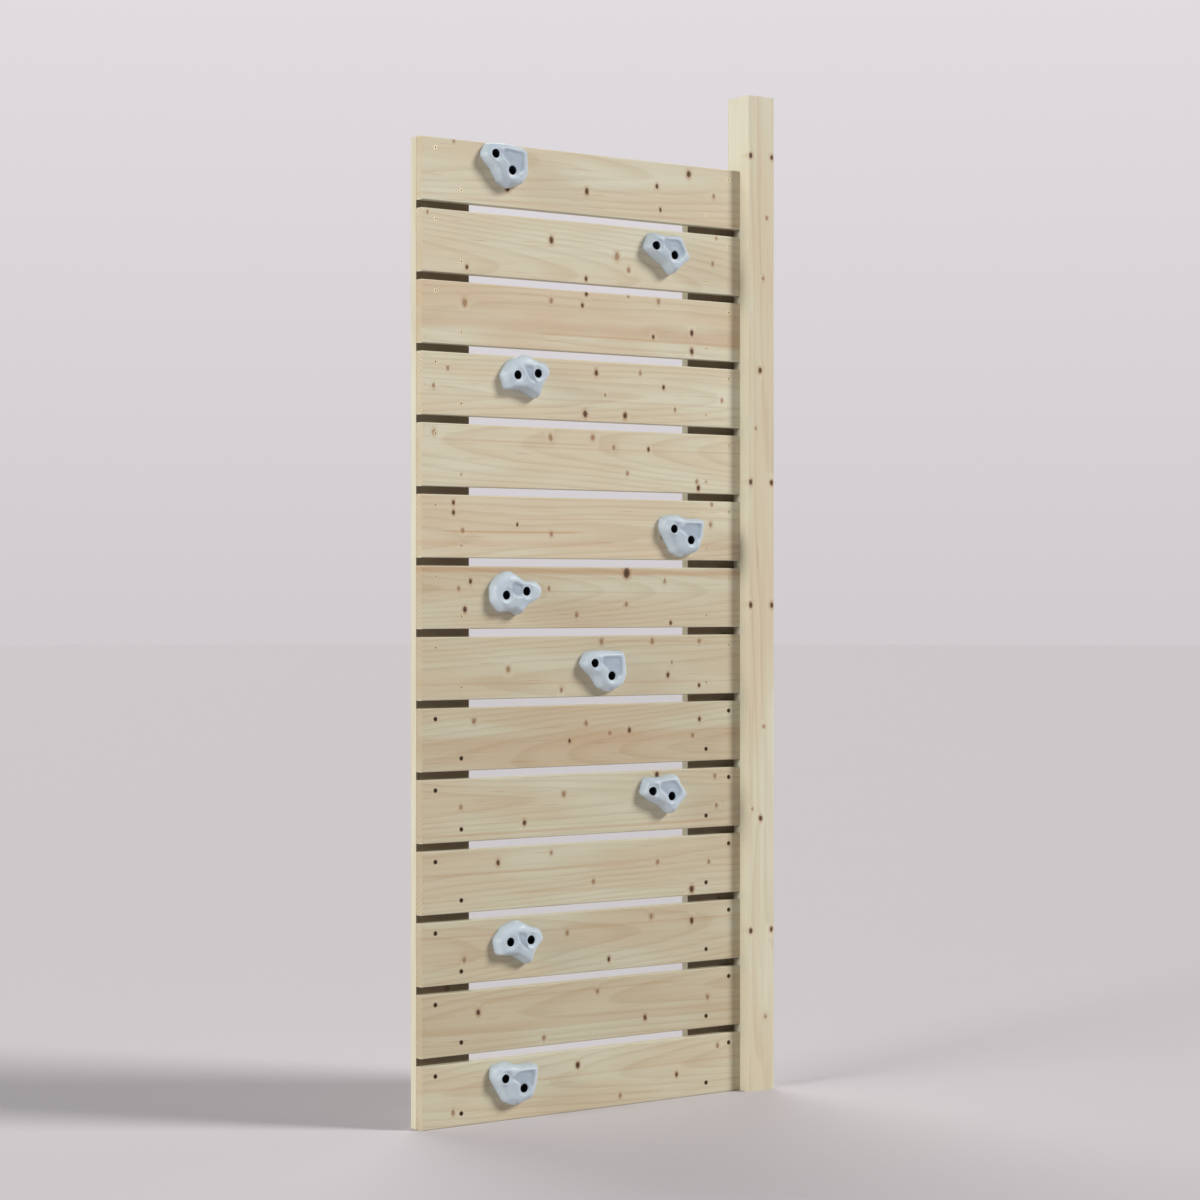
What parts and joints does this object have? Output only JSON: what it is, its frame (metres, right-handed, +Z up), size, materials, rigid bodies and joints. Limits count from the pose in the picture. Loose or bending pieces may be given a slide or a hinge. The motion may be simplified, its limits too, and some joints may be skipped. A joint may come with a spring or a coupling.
{
  "type": "rock climbing wall",
  "caption": "Slatted timber climbing wall bay: level slats on two upright boards beside a tall square post, with moulded holds bolted through the slats.",
  "frame": {"origin": "on the ground plane, half way along the wall from the slats' free ends to the post's outer face, and half way through the post's depth", "axes": "+X to the right of someone who faces the holds, towards the post; +Y into the wall, away from the climber; +Z up"},
  "size_m": [0.843, 0.073, 2.027],
  "materials": {
    "slat_timber": "planed pine, dry and unvarnished",
    "board_timber": "planed pine, dry and unvarnished",
    "post_timber": "planed pine post with eased edges",
    "hold_plastic": "moulded, fine-grained and satin",
    "bolt_black": "black oxide",
    "screw_steel": "yellow-zinc plated",
    "washer_zinc": "dark zinc plated",
    "tee_nut_zinc": "bright zinc plated"
  },
  "bodies": {
    "root": {"board_left": "board_timber", "board_right": "board_timber", "bolts_01": "bolt_black", "bolts_02": "bolt_black", "bolts_03": "bolt_black", "bolts_04": "bolt_black", "bolts_05": "bolt_black", "bolts_06": "bolt_black", "bolts_07": "bolt_black", "bolts_08": "bolt_black", "bolts_09": "bolt_black", "hold_01": "hold_plastic", "hold_02": "hold_plastic", "hold_03": "hold_plastic", "hold_04": "hold_plastic", "hold_05": "hold_plastic", "hold_06": "hold_plastic", "hold_07": "hold_plastic", "hold_08": "hold_plastic", "hold_09": "hold_plastic", "post": "post_timber", "post_screws": "screw_steel", "slat_01": "slat_timber", "slat_02": "slat_timber", "slat_03": "slat_timber", "slat_04": "slat_timber", "slat_05": "slat_timber", "slat_06": "slat_timber", "slat_07": "slat_timber", "slat_08": "slat_timber", "slat_09": "slat_timber", "slat_10": "slat_timber", "slat_11": "slat_timber", "slat_12": "slat_timber", "slat_13": "slat_timber", "slat_14": "slat_timber", "slat_screws_left": "screw_steel", "slat_screws_right": "screw_steel", "tee_nuts_01": "tee_nut_zinc", "tee_nuts_02": "tee_nut_zinc", "tee_nuts_03": "tee_nut_zinc", "tee_nuts_04": "tee_nut_zinc", "tee_nuts_05": "tee_nut_zinc", "tee_nuts_06": "tee_nut_zinc", "tee_nuts_07": "tee_nut_zinc", "tee_nuts_08": "tee_nut_zinc", "tee_nuts_09": "tee_nut_zinc", "washers_01": "washer_zinc", "washers_02": "washer_zinc", "washers_03": "washer_zinc", "washers_04": "washer_zinc", "washers_05": "washer_zinc", "washers_06": "washer_zinc", "washers_07": "washer_zinc", "washers_08": "washer_zinc", "washers_09": "washer_zinc"}
  },
  "joints": []
}
